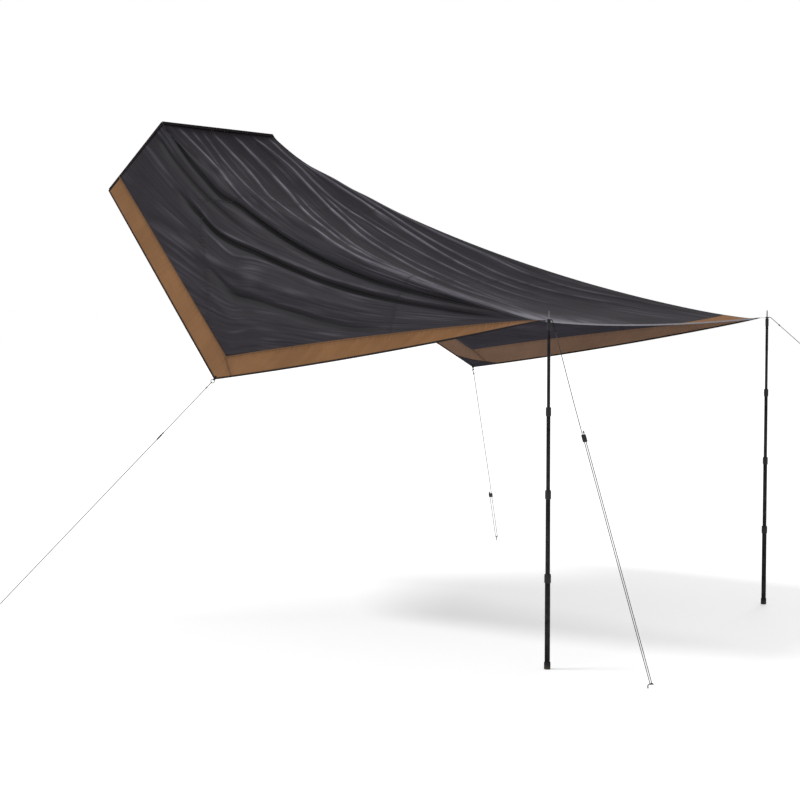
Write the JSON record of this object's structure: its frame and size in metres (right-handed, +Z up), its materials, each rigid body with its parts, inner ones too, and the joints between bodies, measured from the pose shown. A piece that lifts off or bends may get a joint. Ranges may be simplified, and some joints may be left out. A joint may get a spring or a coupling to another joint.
{
  "type": "roof tent sun canopy",
  "caption": "Fabric sun canopy for a roof tent: a sagging roof with two hanging wings and tan bands, held by keder beads, telescopic poles and pegged guylines.",
  "frame": {"origin": "middle of the canopy's top edge on the tent lid, at the top keder bead that holds it up", "axes": "+X out from the tent to the poles, +Y across to the far pole, +Z up; the ground is at z = -3.362 m"},
  "size_m": [6.2309, 5.0688, 3.5564],
  "materials": {
    "dark_cloth": "coated polyester, low sheen",
    "tan_cloth": "coated polyester, low sheen",
    "dark_tape": "woven binding tape and webbing",
    "light_tape": "woven hem tape",
    "grey_cord": "braided cord",
    "black_tube": "satin black anodised tube",
    "black_plastic": "fine matt",
    "steel": "bright steel"
  },
  "bodies": {
    "canopy": {"rear_panel": "dark_cloth", "middle_panel": "dark_cloth", "front_panel": "dark_cloth", "near_side_band": "tan_cloth", "near_lower_band": "tan_cloth", "near_edge_binding": "dark_tape", "near_corner_patch": "dark_cloth", "far_side_band": "tan_cloth", "far_lower_band": "tan_cloth", "far_edge_binding": "dark_tape", "far_corner_patch": "dark_cloth", "front_hem_tape": "light_tape", "top_keder": "dark_tape", "near_side_keder": "dark_tape", "far_side_keder": "dark_tape", "near_corner_tab": "dark_tape", "near_eyelet": "steel", "far_corner_tab": "dark_tape", "far_eyelet": "steel", "near_wing_ring": "steel", "near_wing_hook": "black_plastic", "near_spigot_loop": "dark_tape", "near_wing_guyline": "grey_cord", "near_wing_peg": "steel", "near_pole_guyline": "grey_cord", "near_pole_peg": "steel", "far_wing_ring": "steel", "far_wing_hook": "black_plastic", "far_spigot_loop": "dark_tape", "far_wing_guyline": "grey_cord", "far_wing_peg": "steel", "far_pole_guyline": "grey_cord", "far_pole_peg": "steel"},
    "near_pole_top": {"near_spigot": "steel", "near_pole_cap": "black_plastic", "near_tube_1": "black_tube"},
    "near_pole_upper": {"near_tube_2": "black_tube"},
    "near_pole_lower": {"near_tube_3": "black_tube"},
    "near_pole_base": {"near_tube_4": "black_tube", "near_foot": "black_plastic"},
    "near_lock_1": {"near_collar_1": "black_plastic"},
    "near_lock_2": {"near_collar_2": "black_plastic"},
    "near_lock_3": {"near_collar_3": "black_plastic"},
    "far_pole_top": {"far_spigot": "steel", "far_pole_cap": "black_plastic", "far_tube_1": "black_tube"},
    "far_pole_upper": {"far_tube_2": "black_tube"},
    "far_pole_lower": {"far_tube_3": "black_tube"},
    "far_pole_base": {"far_tube_4": "black_tube", "far_foot": "black_plastic"},
    "far_lock_1": {"far_collar_1": "black_plastic"},
    "far_lock_2": {"far_collar_2": "black_plastic"},
    "far_lock_3": {"far_collar_3": "black_plastic"},
    "near_wing_slider_body": {"near_wing_slider": "black_plastic"},
    "near_pole_slider_body": {"near_pole_slider": "black_plastic"},
    "far_wing_slider_body": {"far_wing_slider": "black_plastic"},
    "far_pole_slider_body": {"far_pole_slider": "black_plastic"}
  },
  "joints": [
    {"name": "near_pole_tilt", "type": "hinge", "parent": "canopy", "child": "near_pole_top", "pos_m": [3.892, -1.302, -1.418], "axis": [0, 1, 0], "range_deg": [-7, 7]},
    {"name": "near_pole_slide_1", "type": "slide", "parent": "near_pole_top", "child": "near_pole_upper", "axis": [0, 0, 1], "range_m": [0, 0.4]},
    {"name": "near_pole_slide_2", "type": "slide", "parent": "near_pole_upper", "child": "near_pole_lower", "axis": [0, 0, 1], "range_m": [0, 0.4]},
    {"name": "near_pole_slide_3", "type": "slide", "parent": "near_pole_lower", "child": "near_pole_base", "axis": [0, 0, 1], "range_m": [0, 0.4]},
    {"name": "near_lock_twist_1", "type": "hinge", "parent": "near_pole_upper", "child": "near_lock_1", "pos_m": [3.892, -1.302, -1.923], "axis": [0, 0, 1], "range_deg": [0, 180]},
    {"name": "near_lock_twist_2", "type": "hinge", "parent": "near_pole_lower", "child": "near_lock_2", "pos_m": [3.892, -1.302, -2.384], "axis": [0, 0, 1], "range_deg": [0, 180]},
    {"name": "near_lock_twist_3", "type": "hinge", "parent": "near_pole_base", "child": "near_lock_3", "pos_m": [3.892, -1.302, -2.853], "axis": [0, 0, 1], "range_deg": [0, 180]},
    {"name": "far_pole_tilt", "type": "hinge", "parent": "canopy", "child": "far_pole_top", "pos_m": [3.892, 1.302, -1.418], "axis": [0, 1, 0], "range_deg": [-7, 7]},
    {"name": "far_pole_slide_1", "type": "slide", "parent": "far_pole_top", "child": "far_pole_upper", "axis": [0, 0, 1], "range_m": [0, 0.4]},
    {"name": "far_pole_slide_2", "type": "slide", "parent": "far_pole_upper", "child": "far_pole_lower", "axis": [0, 0, 1], "range_m": [0, 0.4]},
    {"name": "far_pole_slide_3", "type": "slide", "parent": "far_pole_lower", "child": "far_pole_base", "axis": [0, 0, 1], "range_m": [0, 0.4]},
    {"name": "far_lock_twist_1", "type": "hinge", "parent": "far_pole_upper", "child": "far_lock_1", "pos_m": [3.892, 1.302, -1.923], "axis": [0, 0, 1], "range_deg": [0, 180]},
    {"name": "far_lock_twist_2", "type": "hinge", "parent": "far_pole_lower", "child": "far_lock_2", "pos_m": [3.892, 1.302, -2.384], "axis": [0, 0, 1], "range_deg": [0, 180]},
    {"name": "far_lock_twist_3", "type": "hinge", "parent": "far_pole_base", "child": "far_lock_3", "pos_m": [3.892, 1.302, -2.853], "axis": [0, 0, 1], "range_deg": [0, 180]},
    {"name": "near_wing_line_adjust", "type": "slide", "parent": "canopy", "child": "near_wing_slider_body", "axis": [-0.5149, -0.4619, -0.7222], "range_m": [-0.15, 0.15]},
    {"name": "near_pole_line_adjust", "type": "slide", "parent": "canopy", "child": "near_pole_slider_body", "axis": [0.3305, -0.0233, -0.9435], "range_m": [-0.15, 0.15]},
    {"name": "far_wing_line_adjust", "type": "slide", "parent": "canopy", "child": "far_wing_slider_body", "axis": [-0.3249, 0.6011, -0.7302], "range_m": [-0.15, 0.15]},
    {"name": "far_pole_line_adjust", "type": "slide", "parent": "canopy", "child": "far_pole_slider_body", "axis": [0.5868, 0.4686, -0.6604], "range_m": [-0.15, 0.15]}
  ]
}
